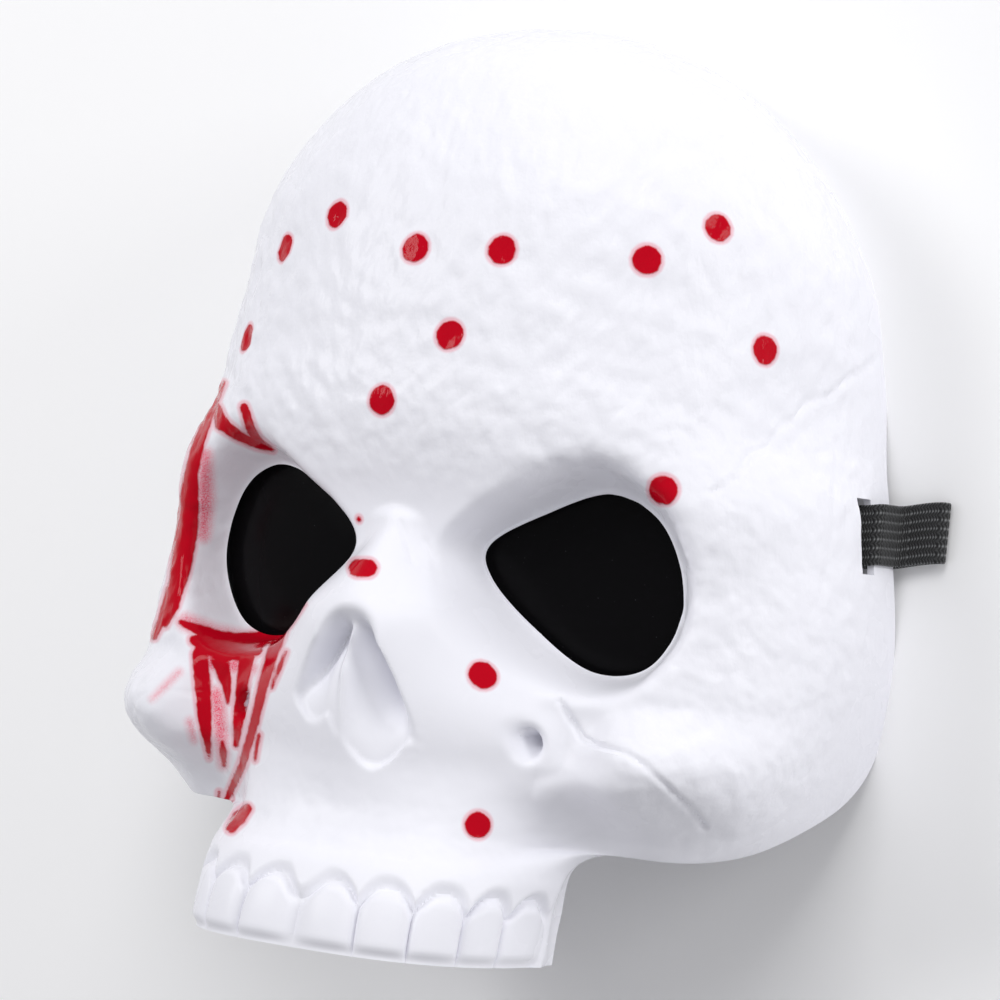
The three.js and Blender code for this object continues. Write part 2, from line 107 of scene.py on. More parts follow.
jaw_half = 0.442  # share of the half width
section_columns = ("front_up", "front_deep", "rim_up", "rim_deep", "rim_out", "full", "steps")
sections = [
    (1.0, 0.0, 1.0, 0.0, 0.0, 2.0, 12),
    (0.982, 0.355, 0.959, 0.0, 0.347, 2.2, 12),
    (0.926, 0.591, 0.871, 0.0, 0.627, 2.3, 14),
    (0.816, 0.739, 0.751, 0.0, 0.823, 2.35, 16),
    (0.687, 0.798, 0.65, 0.0, 0.89, 2.25, 16),
    (0.594, 0.808, 0.558, 0.0, 0.93, 2.3, 24),
    (0.502, 0.788, 0.479, 0.0, 0.974, 2.45, 26),
    (0.419, 0.759, 0.401, 0.0, 0.997, 2.8, 26),
    (0.346, 0.729, 0.318, 0.0, 1.0, 3.3, 24),
    (0.281, 0.719, 0.244, 0.0, 0.98, 4.0, 18),
    (0.23, 0.719, 0.194, 0.079, 0.952, 4.0, 12),
    (0.194, 0.739, 0.157, 0.236, 0.907, 3.2, 10),
    (0.166, 0.759, 0.131, 0.365, 0.84, 2.0, 9),
    (0.143, 0.788, 0.12, 0.483, 0.75, 1.3, 8),
    (0.124, 0.828, 0.12, 0.542, 0.65, 1.1, 8),
    (0.106, 0.867, 0.12, 0.571, 0.549, 1.4, 11),
    (0.083, 0.936, 0.101, 0.562, 0.476, 2.2, 11),
    (0.051, 0.975, 0.06, 0.542, 0.448, 2.8, 15),
    (0.0, 1.0, 0.0, 0.532, jaw_half, 3.0, 0),
]
middle_line = [
    (-0.014, 0.995), (0.032, 0.985), (0.069, 0.956), (0.106, 0.916), (0.143, 0.887),
    (0.18, 0.892), (0.217, 0.911), (0.272, 0.936), (0.323, 0.951), (0.35, 0.931),
    (0.392, 0.862), (0.433, 0.798), (0.475, 0.778),
]
nose_opening = [
    (0.177, 0.0), (0.184, 0.112), (0.194, 0.168), (0.207, 0.196), (0.23, 0.194),
    (0.267, 0.151), (0.309, 0.096), (0.332, 0.054), (0.343, 0.0),
]
eye = {"out": 0.426, "up": 0.396, "deep": 0.573, "wrap": -0.2, "tilt": 0.1}
eye_outline = [  # out and up as shares, flare in millimetres
    (1.0, -0.15, 9.0), (0.78, 0.66, 9.0), (0.25, 0.98, 9.0), (-0.42, 0.7, 4.0),
    (-0.97, 0.3, 3.0), (-0.94, -0.08, 4.0), (-0.5, -0.56, 6.0), (0.15, -0.98, 6.0),
    (0.72, -0.84, 8.0),
]
tooth_bounds = [0.0, 0.15, 0.355, 0.572, 0.755, 0.935, 1.0]
half_count = 150
near_columns, near_reach = 30, 18.0
face_columns, face_reach = 88, 62.0


def smooth(start, end, value):
    t = np.clip((value - start) / (end - start), 0, 1)
    return t * t * (3 - 2 * t)


def bell(distance):
    return np.maximum(0, 1 - distance * distance) ** 2


def soft_max(a, b, reach):
    h = np.clip(0.5 + 0.5 * (a - b) / reach, 0, 1)
    return b + (a - b) * h + reach * h * (1 - h)


def spline(a, b, c, d, t):
    square = 2 * a - 5 * b + 4 * c - d
    cube = -a + 3 * b - 3 * c + d
    return 0.5 * (2 * b + (c - a) * t + square * t * t + cube * t * t * t)


def curve(table, at):
    x, y = np.array(table).T
    index = np.arange(len(x))
    low, high = np.maximum(index - 1, 0), np.minimum(index + 1, len(x) - 1)
    slope = (y[high] - y[low]) / (x[high] - x[low])
    value = np.clip(at, x[0], x[-1])
    i = np.clip(np.searchsorted(x, value) - 1, 0, len(x) - 2)
    span = x[i + 1] - x[i]
    t = (value - x[i]) / span
    rise = t * t * (3 - 2 * t)
    bend = t * (1 - t) ** 2 * slope[i] + t * t * (t - 1) * slope[i + 1]
    return y[i] * (1 - rise) + y[i + 1] * rise + bend * span


def section_value(name, row):
    values = np.array([section[section_columns.index(name)] for section in sections])
    last = len(values) - 1
    i = np.minimum(row.astype(int), last - 1)
    mirrored = -values[1] if name in ("front_deep", "rim_out") else values[1]
    before = np.where(i == 0, mirrored, values[np.maximum(i - 1, 0)])
    after = values[np.minimum(i + 2, last)]
    return spline(before, values[i], values[i + 1], after, row - i)


def loft(row, across):
    angle = np.abs(across) * math.pi / 2
    power = 2 / section_value("full", row)
    share = np.maximum(0, np.cos(angle)) ** power
    rim_up = section_value("rim_up", row)
    rim_deep = np.maximum(0, section_value("rim_deep", row))
    out = section_value("rim_out", row) * half_width * np.sin(angle) ** power
    high = rim_up + (section_value("front_up", row) - rim_up) * share
    deep = rim_deep + (section_value("front_deep", row) - rim_deep) * share
    return np.stack([np.sign(across) * out, (high - 0.5) * mask_height, deep * mask_depth], -1)


def unit(vectors):
    return vectors / np.maximum(np.linalg.norm(vectors, axis=-1, keepdims=True), 1e-9)


def loft_normal(row, across):
    step = 0.004
    low_row = np.maximum(row - step, 0.02)
    high_row = np.minimum(row + step, len(sections) - 1.001)
    low = np.clip(across - step, -0.998, 0.998)
    high = np.clip(across + step, -0.998, 0.998)
    along = loft(high_row, (low + high) / 2) - loft(low_row, (low + high) / 2)
    side = loft((low_row + high_row) / 2, high) - loft((low_row + high_row) / 2, low)
    return unit(np.cross(along, side))


def eye_curve():
    count = 360
    s = np.arange(count) / count * len(eye_outline)
    i = s.astype(int)
    knots = np.array(eye_outline)
    pick = [knots[(i + k) % len(knots)] for k in (-1, 0, 1, 2)]
    x, y, flare = spline(*pick, (s - i)[:, None]).T
    return x * eye_width / 2, y * eye_height / 2, flare


def socket_place(x, y):
    """Distance past the edge of the eye opening, flare of the socket wall, and angle."""
    edge_x, edge_y, edge_flare = eye_curve()
    edge_angle = np.arctan2(edge_y, edge_x)
    dx, dy = x - eye["out"] * half_width, y - (eye["up"] - 0.5) * mask_height
    angle = np.arctan2(dy, dx)
    radius = np.interp(angle, edge_angle, np.hypot(edge_x, edge_y), period=2 * math.pi)
    flare = np.interp(angle, edge_angle, edge_flare, period=2 * math.pi)
    return np.hypot(dx, dy) - radius, flare, angle


def film_plane(x, y):
    return (eye["deep"] * mask_depth + eye["wrap"] * (x - eye["out"] * half_width)
            + eye["tilt"] * (y - (eye["up"] - 0.5) * mask_height))


def spot(out, high, middle, reach):
    return bell(np.hypot((out - middle[0]) / reach[0], (high - middle[1]) / reach[1]))


def skin(row, across, grow, pull=0.35):
    """Points of the outer skin, or of the inner one where grow is the wall."""
    point = loft(row, across)
    normal = loft_normal(row, across)
    side = np.abs(across)
    normal[row == len(sections) - 1, 1] = 0
    normal = unit(normal)
    edge = 1 - smooth(0.8, 0.97, side)
    out = np.abs(point[..., 0]) / half_width
    high = point[..., 1] / mask_height + 0.5

    brow_line = 0.539 - 0.065 * smooth(0.49, 0.806, out)
    swell = brow_swell * bell((high - brow_line) / 0.092) * (1 - smooth(0.74, 0.94, out))
    swell += 1.6 * spot(out, high, (0.806, 0.484), (0.19, 0.078))
    swell -= 2 * edge * spot(out, high, (0.873, 0.585), (0.157, 0.101))
    point = point + normal * np.where(row > 0, swell, 0)[..., None]
    if grow > 0:
        flat = np.where(side == 1, smooth(0, 0.05, point[..., 2] / mask_depth), 1)
        normal[..., 2] *= flat
        normal = unit(normal)
        normal[row == 0] = (0, 1, 0)
        point = point - normal * grow

    x, y, z = np.moveaxis(point, -1, 0)
    out, high = np.abs(x) / half_width, y / mask_height + 0.5
    z = z + cheek_swell * bell((high - 0.212) / 0.069) * smooth(0.49, 0.74, out) * edge
    z = z + rim_lift * bell((high - slot_row) / 0.138) * smooth(0.85, 1, side)

    to_jaw = smooth(0.207, 0.124, high)
    spread = 0.168 + 0.123 * smooth(0.419, 0.336, high) + 0.179 * smooth(0.336, 0.217, high)
    jaw_round = 1 - np.maximum(0, 1 - (out / jaw_half) ** 2.8) ** (1 / 2.8)
    jaw_drop = 0.443 * jaw_round + 4.65 * np.maximum(0, out - jaw_half)
    cheek_drop = 0.197 * (out / spread) ** 1.7 + 2.5 * np.maximum(0, out - 0.5)
    drop = cheek_drop * (1 - to_jaw) + jaw_drop * to_jaw + 0.118 * smooth(0.438, 0.475, high)
    ridge = mask_depth * (curve(middle_line, high) - drop) - nose_wall_share * grow
    z = np.where((high < 0.475) & (row > 0), soft_max(z, ridge, nose_blend), z)
    z = z - 4 * spot(out, high, (0.56, 0.143), (0.146, 0.055))
    z = z - 3 * spot(out, high, (0.426, 0.226), (0.05, 0.025))

    past, flare, angle = socket_place(np.abs(x), y)
    past = past - grow
    near_edge = np.where(past < flare / 2, 0, flare)
    move = np.where(np.abs(past - near_edge) < pull, near_edge - past, 0)
    x = x + np.sign(x) * move * np.cos(angle)
    y = y + move * np.sin(angle)
    past = past + move
    film = film_plane(np.abs(x), y) - grow
    z = np.where(past < flare, film + (z - film) * smooth(0, flare, past) ** 0.8, z)

    opening = curve(nose_opening, high)
    half = opening * half_width + grow * np.clip(opening / 0.03, 0, 1)
    for edge_at in (half, half - nose_wall):
        gap = edge_at - np.abs(x)
        x = x + np.sign(x) * np.where((np.abs(gap) < 0.3) & (edge_at > 1), gap, 0)
    aside = np.abs(x)
    above = high - 0.212 + 0.03 * np.sin(np.clip(aside / half_width / 0.168, 0, 1) * math.pi)
    above = above - 0.04 * smooth(0, 4, -x)
    lip = nose_lip * smooth(0, 0.008, above) + (1 - nose_lip) * smooth(0, 0.1, above)
    recess = nose_recess * smooth(0, nose_wall, half - aside) * lip
    if grow == 0:
        ridge = 1 - np.clip(aside / np.maximum(half - 0.75 * nose_wall, 1), 0, 1)
        top = 0.93 - 0.3 * bell((high - 0.315) / 0.04)
        recess = recess * (1 - top * (0.72 * ridge + 0.28 * bell(aside / 2.6)))
    return np.stack([x, y, z - recess], -1)


rows = np.concatenate([
    i + np.arange(section[-1]) / section[-1] for i, section in enumerate(sections[:-1])
] + [[len(sections) - 1.0]])


def half_columns(row):
    """Columns of one row, close together over the nose and the sockets, or on the teeth."""
    at = np.full(2, row)
    reach = section_value("rim_out", at)[0] * half_width
    power = section_value("full", at)[0] / 2
    stops = np.array([min(near_reach / max(reach, 1), 0.25), min(face_reach / max(reach, 1), 0.72)])
    stops = np.arcsin(stops ** power) / (math.pi / 2)
    count = np.arange(half_count + 1)
    spread = np.interp(count, [near_columns, face_columns, half_count], [*stops, 1])
    near = near_reach / max(reach, 1) * count / near_columns
    near = np.minimum(near, 0.25 * count / near_columns)
    near = np.arcsin(np.clip(near, 0, 1) ** power) / (math.pi / 2)
    spread = np.where(count < near_columns, near, spread)
    teeth = count / half_count
    for bound in tooth_bounds:
        teeth[np.argmin(np.abs(teeth - bound))] = bound
    to_teeth = smooth(0.16, 0.108, section_value("front_up", at)[0])
    return spread + (teeth - spread) * to_teeth


column_grid = np.array([half_columns(row) for row in rows])
column_grid = np.concatenate([-column_grid[:, :0:-1], column_grid], axis=1)
row_grid = np.repeat(rows[:, None], column_grid.shape[1], axis=1)
outer = skin(row_grid, column_grid, 0)
inner = skin(row_grid[::2, ::2], column_grid[::2, ::2], wall)


def even_out(points, amount, passes):
    """Rounds the places of a grid of points off, by an amount for each of them."""
    for _ in range(passes):
        before, after = 2 * points[:, :1] - points[:, 1:2], 2 * points[:, -1:] - points[:, -2:-1]
        wide = np.concatenate([before, points, after], axis=1)[1:-1]
        around = (points[:-2] + points[2:] + wide[:, :-2] + wide[:, 2:]) / 4
        points[1:-1] += (around - points[1:-1]) * amount[1:-1, :, None]


high = outer[..., 1] / mask_height + 0.5
aside = np.abs(outer[..., 0])
even_out(outer, 0.5 * smooth(20, 15, aside) * bell((high - 0.27) / 0.11), 2)
even_out(outer, smooth(14, 7, aside) * bell((high - 0.345) / 0.035), 14)
past, flare, _ = socket_place(aside, outer[..., 1])
even_out(outer, bell((past - flare) / 5) * smooth(0.6, 2.5, past), 8)
for skin_points, passes in ((outer, 16), (inner, 5)):
    high = skin_points[..., 1] / mask_height + 0.5
    corner = smooth(26, 34, np.abs(skin_points[..., 0])) * smooth(0.05, 0.09, high)
    even_out(skin_points, corner * smooth(0.17, 0.14, high), passes)


def grid_faces(count_rows, count_columns, start, flip):
    at = start + np.arange((count_rows - 1) * count_columns).reshape(-1, count_columns)[:, :-1]
    at = at.reshape(-1)
    corners = [at, at + count_columns, at + count_columns + 1, at + 1]
    return np.stack(corners[::-1] if flip else corners, -1)


def skin_tree():
    return BVHTree.FromPolygons(
        outer.reshape(-1, 3).tolist(), grid_faces(*outer.shape[:2], 0, False).tolist())


surface = skin_tree()


def on_mask(px, py):
    """The point of the mask that the camera sees at a pixel, or nearest to it inwards."""
    half = picture_side / 2
    middle = Vector((half, half + 50))
    place = Vector((px, py))
    for _ in range(80):
        right, down = (place.x - half) / focal_pixels, (place.y - half) / focal_pixels
        ray = camera_right * right - camera_up * down - toward
        hit = surface.ray_cast(Vector(camera_place), Vector(ray).normalized())[0]
        if hit:
            return np.array(hit)
        place += (middle - place).normalized()
    return view_target


def line_distance(points, line, radii):
    """Distance from points to a line of places, less the line's own half width."""
    best = np.full(points.shape[:-1], 1e3)
    for a, b, ra, rb in zip(line[:-1], line[1:], radii[:-1], radii[1:]):
        run = np.subtract(b, a)
        t = np.clip((points - a) @ run / max(run @ run, 1e-9), 0, 1)
        gap = np.linalg.norm(points - a - t[..., None] * run, axis=-1)
        best = np.minimum(best, gap - ra - (rb - ra) * t)
    return best


# Sutures and creases of the bone, by the pixels that they pass through, half width and
# depth in millimetres. The wearer's right side has the same ones, but much fainter.
faint_side = 0.25
creases = [
    ([(560, 700), (571, 722), (579, 738), (596, 745), (626, 753), (642, 763), (665, 785), (689, 808),
      (705, 828)], 1.3, 0.95),
    ([(556, 715), (566, 745), (590, 762), (620, 775), (655, 800), (680, 822)], 5.0, 0.55),
    ([(875, 360), (848, 378), (830, 396), (806, 402), (796, 418), (780, 426), (768, 447), (748, 455),
      (735, 478), (712, 492)], 1.3, 0.6),
    ([(808, 250), (805, 320), (800, 390)], 1.4, 0.4),
    ([(845, 400), (835, 500), (822, 600)], 1.6, 0.4),
    ([(400, 520), (406, 540), (412, 562)], 0.9, 0.3),
    ([(425, 540), (433, 560), (440, 582)], 0.9, 0.3),
]


def one_side(points):
    return points * np.where(points[..., :1] < 0, [-1.0, 1, 1], 1.0)


mirrored = one_side(outer)
carve = np.zeros(outer.shape[:-1])
for pixels, reach, sink in creases:
    line = [on_mask(*pixel) for pixel in pixels]
    gap = line_distance(mirrored, line, [0] * len(line))
    carve -= sink * bell(gap / reach) * np.where(outer[..., 0] < 0, faint_side, 1)

# The deep pit beside the nose and two shallow hollows near it, by pixel
pit_pixel = (530, 746)
pit_reach = 3.1
pit_push = np.array([0, 2.2, -6.0])
hollows = [  # pixel, depth, reach and weight of the height in the distance
    ((588, 727), 1.3, 6.5, 0.3),
    ((521, 733), 0.9, 4.5, 0.4),
]
pit = on_mask(*pit_pixel)
for skin_points in (inner, outer):
    from_pit = np.linalg.norm((one_side(skin_points) - pit) * [1.0, 0.8, 0.35], axis=-1)
    skin_points += bell(from_pit / pit_reach)[..., None] * pit_push
for pixel, sink, reach, height_weight in hollows:
    gap = np.linalg.norm((mirrored - on_mask(*pixel)) * [1.0, 1.0, height_weight], axis=-1)
    carve -= sink * bell(gap / reach)

# Lumps of the tool's hand-worked surface, strongest on the forehead and the cheeks
high = outer[..., 1] / mask_height + 0.5
out = np.abs(outer[..., 0]) / half_width
worked = smooth(0.44, 0.54, high) * (1 - 0.6 * smooth(0.8, 0.95, high))
worked = np.maximum(worked, 0.75 * smooth(0.6, 0.75, out) * smooth(0.1, 0.2, high))
worked = np.maximum(worked, 0.35 * smooth(0.25, 0.12, high) * smooth(0.075, 0.1, high))
worked *= 1 - smooth(0.9, 1, np.abs(column_grid))
lumps = np.array([
    noise.noise(Vector(p) * 0.21) + 0.5 * noise.noise(Vector(p) * 0.47 + Vector((7, 3, 1)))
    for p in outer.reshape(-1, 3)]).reshape(high.shape)
carve += 0.5 * worked * lumps

# Teeth under a gum that hangs over them in arches, with the roots swelling above
side = np.abs(column_grid)
bounds = np.array(tooth_bounds)
tooth = np.clip(np.searchsorted(bounds, side) - 1, 0, len(bounds) - 2)
beside = np.abs(2 * (side - bounds[tooth]) / (bounds[tooth + 1] - bounds[tooth]) - 1)
below = (0.069 - 0.022 * beside ** 2.4 - high) * mask_height
toothed = 1 - smooth(0.915, 0.95, side)
crown = np.sqrt(np.maximum(0, 1 - beside ** 3.2)) * (0.3 + 0.7 * smooth(0.002, 0.013, high))
carve += tooth_bulge * smooth(-0.5, 2.4, below) * np.where(side < bounds[-2], crown, 0)
gum = gum_bulge * np.maximum(smooth(0.3, -2.6, below), 1 - toothed)
carve += gum * smooth(0.125, 0.08, high) * (1 - smooth(0.93, 1, side))

step_row = np.gradient(outer, axis=0)
step_column = np.gradient(outer, axis=1)
facing = unit(np.cross(step_row, step_column))
outer[1:] += (facing * carve[..., None])[1:]
outer[..., 2] = np.maximum(outer[..., 2], 0)
surface = skin_tree()

wide, inner_wide = outer.shape[1], inner.shape[1]
inner_start = len(rows) * wide
faces = grid_faces(len(rows), wide, 0, False).tolist()
painted_count = len(faces)
faces += grid_faces(inner.shape[0], inner_wide, inner_start, True).tolist()
for r in range(0, len(rows) - 1, 2):
    left, back = r * wide, inner_start + r // 2 * inner_wide
    faces.append((left + 2 * wide, left + wide, left, back, back + inner_wide))
    right, back = left + wide - 1, back + inner_wide - 1
    faces.append((right, right + wide, right + 2 * wide, back + inner_wide, back))
bottom, bottom_back = (len(rows) - 1) * wide, inner_start + (inner.shape[0] - 1) * inner_wide
for c in range(0, wide - 1, 2):
    low, back = bottom + c, bottom_back + c // 2
    faces.append((low + 2, low + 1, low, back, back + 1))
shell_mesh = bpy.data.meshes.new("mask_shell_moulding")
shell_points = np.concatenate([outer.reshape(-1, 3), inner.reshape(-1, 3)]) * MM
shell_mesh.from_pydata(shell_points.tolist(), [], faces)
shell = bpy.data.objects.new("mask_shell_moulding", shell_mesh)
bpy.context.collection.objects.link(shell)
inside_index = np.ones(len(faces), dtype=np.int32)
inside_index[:painted_count] = 0
bpy.context.view_layer.objects.active = shell
shell.select_set(True)
for name in ("painted plastic", "plain plastic"):
    shell_mesh.materials.append(bpy.data.materials.new(name))
shell_mesh.polygons.foreach_set("material_index", inside_index)
bpy.ops.object.mode_set(mode="EDIT")
bpy.ops.mesh.select_all(action="SELECT")
bpy.ops.mesh.remove_doubles(threshold=2e-6)
bpy.ops.mesh.quads_convert_to_tris(quad_method="SHORTEST_DIAGONAL", ngon_method="BEAUTY")
bpy.ops.object.mode_set(mode="OBJECT")


def trim(cutter):
    """Cuts the cutter's shape out of the shell."""
    modifier = shell.modifiers.new("trim", "BOOLEAN")
    modifier.operation = "DIFFERENCE"
    modifier.solver = "MANIFOLD"
    modifier.object = cutter
    bpy.context.view_layer.objects.active = shell
    bpy.ops.object.modifier_apply(modifier=modifier.name)
    bpy.data.objects.remove(cutter)


def prism(name, outline, low, high, foot=None):
    """A body over an outline, or from a foot to it, between two heights for each point."""
    count = len(outline)
    points = [(x, y, z) for x, y, z in zip(*(outline if foot is None else foot).T, low)]
    points += [(x, y, z) for x, y, z in zip(*outline.T, high)]
    sides = [(k, (k + 1) % count, (k + 1) % count + count, k + count) for k in range(count)]
    mesh = bpy.data.meshes.new(name)
    mesh.from_pydata((np.array(points) * MM).tolist(), [], [
        tuple(range(count - 1, -1, -1)), tuple(range(count, 2 * count)), *sides])
    body = bpy.data.objects.new(name, mesh)
    bpy.context.collection.objects.link(body)
    return body


def eye_line(offset, side, count):
    """The outline of an eye opening moved outwards by an offset, anticlockwise."""
    x, y, _ = eye_curve()
    pick = np.arange(count) * len(x) // count
    x, y = x[pick], y[pick]
    scale = 1 + offset / np.hypot(x, y)
    line = np.stack([
        side * (x * scale + eye["out"] * half_width),
        y * scale + (eye["up"] - 0.5) * mask_height], -1)
    return line[::-1] if side < 0 else line


for side in (-1, 1):
    opening = eye_line(-eye_lip - 2, side, 180)
    edge_height = film_plane(np.abs(opening[:, 0]), opening[:, 1])
    foot = eye_line(-eye_lip + 4, side, 180)
    trim(prism("eye cutter", opening, edge_height - 4, edge_height + 2, foot))
    corners = np.array([(0.85, -0.5), (1.15, -0.5), (1.15, 0.5), (0.85, 0.5)])[::side]
    slot = corners * [side * half_width, slot_length]
    slot += [0, (slot_row - 0.5) * mask_height - strap_drop]
    low = slot_above_floor - strap_thickness / 2 - clearance
    trim(prism("slot cutter", slot, np.full(4, low), np.full(4, low + slot_height)))
bpy.ops.object.select_all(action="DESELECT")
shell.select_set(True)
bpy.context.view_layer.objects.active = shell
bpy.ops.object.shade_smooth_by_angle(angle=math.radians(40))

# Drops of red paint by pixel and half width in millimetres, and runs and haze of it by
# pixels and half widths in pixels
drops = [
    (285, 248, 3.2), (338, 215, 3.25), (415, 248, 3.3), (502, 250, 3.3), (647, 260, 3.3),
    (718, 228, 3.2), (765, 350, 3.3), (450, 335, 3.3), (382, 400, 3.3), (248, 338, 3.3),
    (483, 675, 3.2), (478, 825, 2.9), (359, 519, 0.6),
]
runs = [
    [(663, 490, 14), (663.5, 490, 14)],
    [(358, 568, 9), (368, 568, 9)],
    [(247, 809, 5), (239, 818, 7), (231, 828, 5)],
    [(217, 407, 4), (222, 424, 7), (239, 436, 5), (258, 445, 4), (273, 450, 2)],
    [(244, 407, 4), (251, 430, 5), (259, 442, 4), (271, 449, 2)],
    [(224, 383, 2), (214, 400, 5), (205, 425, 5), (198, 444, 6), (191, 474, 7)],
    [(191, 474, 7), (189, 500, 10), (186, 533, 12), (180, 571, 10), (172, 605, 7), (165, 625, 3)],
    [(172, 590, 6), (164, 614, 5), (154, 637, 3)],
    [(181, 622, 3), (207, 634, 7), (233, 641, 8), (259, 640, 8), (287, 623, 5), (303, 604, 2)],
    [(194, 640, 5), (214, 648, 9), (238, 651, 9), (256, 650, 6)],
    [(200, 655, 8), (203, 690, 8), (205, 720, 7), (209, 758, 1.5)],
    [(220, 660, 9), (227, 685, 5), (228, 702, 2)],
    [(222, 742, 2), (223, 753, 4), (224, 765, 2)],
    [(247, 655, 8), (243, 680, 6), (239, 715, 6), (236, 745, 2.5)],
    [(285, 620, 6), (272, 655, 6), (263, 686, 5), (254, 724, 4.4), (243, 763, 4),
     (231, 790, 3.2), (220, 813, 1)],
    [(286, 652, 1.5), (277, 673, 2.5), (272, 688, 1)],
    [(259, 735, 2), (255, 760, 1.5)],
    [(219, 792, 1.5), (218, 799, 1)],
]
spray_lines = [
    [(205, 455, 8), (205, 500, 10), (203, 535, 8)],
    [(188, 540, 6), (180, 590, 6)],
    [(186, 622, 9), (215, 634, 10), (246, 640, 9), (285, 622, 5)],
    [(205, 660, 12), (232, 662, 14), (250, 668, 8)],
    [(179, 672, 3), (165, 686, 3), (152, 699, 2)],
    [(190, 722, 4), (194, 740, 3)],
    [(216, 695, 10), (221, 735, 9), (223, 765, 5)],
]
count = len(shell.data.vertices)
places = np.empty(count * 3)
shell.data.vertices.foreach_get("co", places)
places = places.reshape(-1, 3) / MM
normals = np.empty(count * 3)
shell.data.vertices.foreach_get("normal", normals)
normals = normals.reshape(-1, 3)
paint = np.full(count, 1e3)
for px, py, radius in drops:
    paint = np.minimum(paint, np.linalg.norm(places - on_mask(px, py), axis=-1) - radius)
away = places - camera_place
depth = -away @ toward
picture = np.stack([away @ camera_right, -away @ camera_up], -1) / depth[:, None]
picture = picture * focal_pixels + picture_side / 2
pixels_per_mm = focal_pixels / view_distance


sight_slack = 1.5
round_edges = 0.5


def picture_distance(lines):
    """Distance in the picture to the lines, in millimetres of the mask at the camera's target.

    Behind an edge, where the camera doesn't see the mask, the nearest point in sight gives it.
    """
    best = np.full(count, 1e3)
    for line in lines:
        line = np.array(line)
        gap = line_distance(picture, line[:, :2], line[:, 2])
        best = np.minimum(best, gap / pixels_per_mm)
    near = np.flatnonzero(best < 3)
    hits = [surface.ray_cast(Vector(camera_place), Vector(away[k]).normalized()) for k in near]
    hidden = np.array([
        bool(hit[0]) and hit[3] < np.linalg.norm(away[k]) - sight_slack
        for k, hit in zip(near, hits)])
    in_sight = KDTree(len(near))
    for k in near[~hidden]:
        in_sight.insert(places[k], int(k))
    in_sight.balance()
    for k in near[hidden]:
        beside, gap = in_sight.find(places[k])[1:]
        same_side = normals[k] @ normals[beside] > 0
        best[k] = best[beside] + round_edges * gap if same_side else 1e3
    return best


paint = np.minimum(paint, picture_distance(runs))
for run in runs:
    line = [on_mask(px, py) for px, py, _ in run]
    half_widths = [half / pixels_per_mm for _, _, half in run]
    paint = np.minimum(paint, line_distance(places, line, half_widths))
spray = picture_distance(spray_lines)
high = places[:, 1] / mask_height + 0.5
out = np.abs(places[:, 0]) / half_width
worked = smooth(0.44, 0.54, high)
worked = np.maximum(worked, 0.8 * smooth(0.6, 0.75, out) * smooth(0.1, 0.2, high))
for name, values in (
        ("paint", np.clip(paint, -4, 8)), ("spray", np.clip(spray, -4, 8)), ("worked", worked)):
    layer = shell.data.attributes.new(name, "FLOAT", "POINT")
    layer.data.foreach_set("value", values.astype(np.float32))
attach(shell, "root")
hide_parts("mask_shell")


def link_nodes(tree, pairs):
    for start, end in pairs:
        tree.links.new(start, end)


def moulded_plastic():
    """Shared relief and colour of the white plastic, as a group of nodes."""
    group = bpy.data.node_groups.new("moulded plastic", "ShaderNodeTree")
    face = group.interface
    face.new_socket("Relief", in_out="INPUT", socket_type="NodeSocketFloat")
    face.new_socket("Colour", in_out="OUTPUT", socket_type="NodeSocketColor")
    face.new_socket("Roughness", in_out="OUTPUT", socket_type="NodeSocketFloat")
    face.new_socket("Height", in_out="OUTPUT", socket_type="NodeSocketFloat")
    nodes = group.nodes
    entry, leave = nodes.new("NodeGroupInput"), nodes.new("NodeGroupOutput")
    place = nodes.new("ShaderNodeTexCoord")
    coarse, fine, cloud = (nodes.new("ShaderNodeTexNoise") for _ in range(3))
    for texture, scale, detail in ((coarse, 260, 3), (fine, 900, 2), (cloud, 60, 3)):
        texture.inputs["Scale"].default_value = scale
        texture.inputs["Detail"].default_value = detail
    stretch = nodes.new("ShaderNodeMapping")
    stretch.inputs["Scale"].default_value = (1, 0.55, 1)
    mixed = nodes.new("ShaderNodeMath")
    mixed.operation = "MULTIPLY_ADD"
    mixed.inputs[1].default_value = 0.12
    scaled = nodes.new("ShaderNodeMath")
    scaled.operation = "MULTIPLY"
    tint = nodes.new("ShaderNodeValToRGB")
    tint.color_ramp.elements[0].color = (0.845, 0.845, 0.9, 1)
    tint.color_ramp.elements[1].color = (0.88, 0.88, 0.935, 1)
    rough = nodes.new("ShaderNodeMapRange")
    rough.inputs["To Min"].default_value = 0.2
    rough.inputs["To Max"].default_value = 0.34
    link_nodes(group, [
        (place.outputs["Object"], stretch.inputs["Vector"]),
        (stretch.outputs["Vector"], coarse.inputs["Vector"]),
        (place.outputs["Object"], fine.inputs["Vector"]),
        (place.outputs["Object"], cloud.inputs["Vector"]),
        (fine.outputs["Fac"], mixed.inputs[0]),
        (coarse.outputs["Fac"], mixed.inputs[2]),
        (mixed.outputs[0], scaled.inputs[0]),
        (entry.outputs["Relief"], scaled.inputs[1]),
        (cloud.outputs["Fac"], tint.inputs["Fac"]),
        (cloud.outputs["Fac"], rough.inputs["Value"]),
        (tint.outputs["Color"], leave.inputs["Colour"]),
        (rough.outputs["Result"], leave.inputs["Roughness"]),
        (scaled.outputs[0], leave.inputs["Height"]),
    ])
    return group


plastic_group = moulded_plastic()


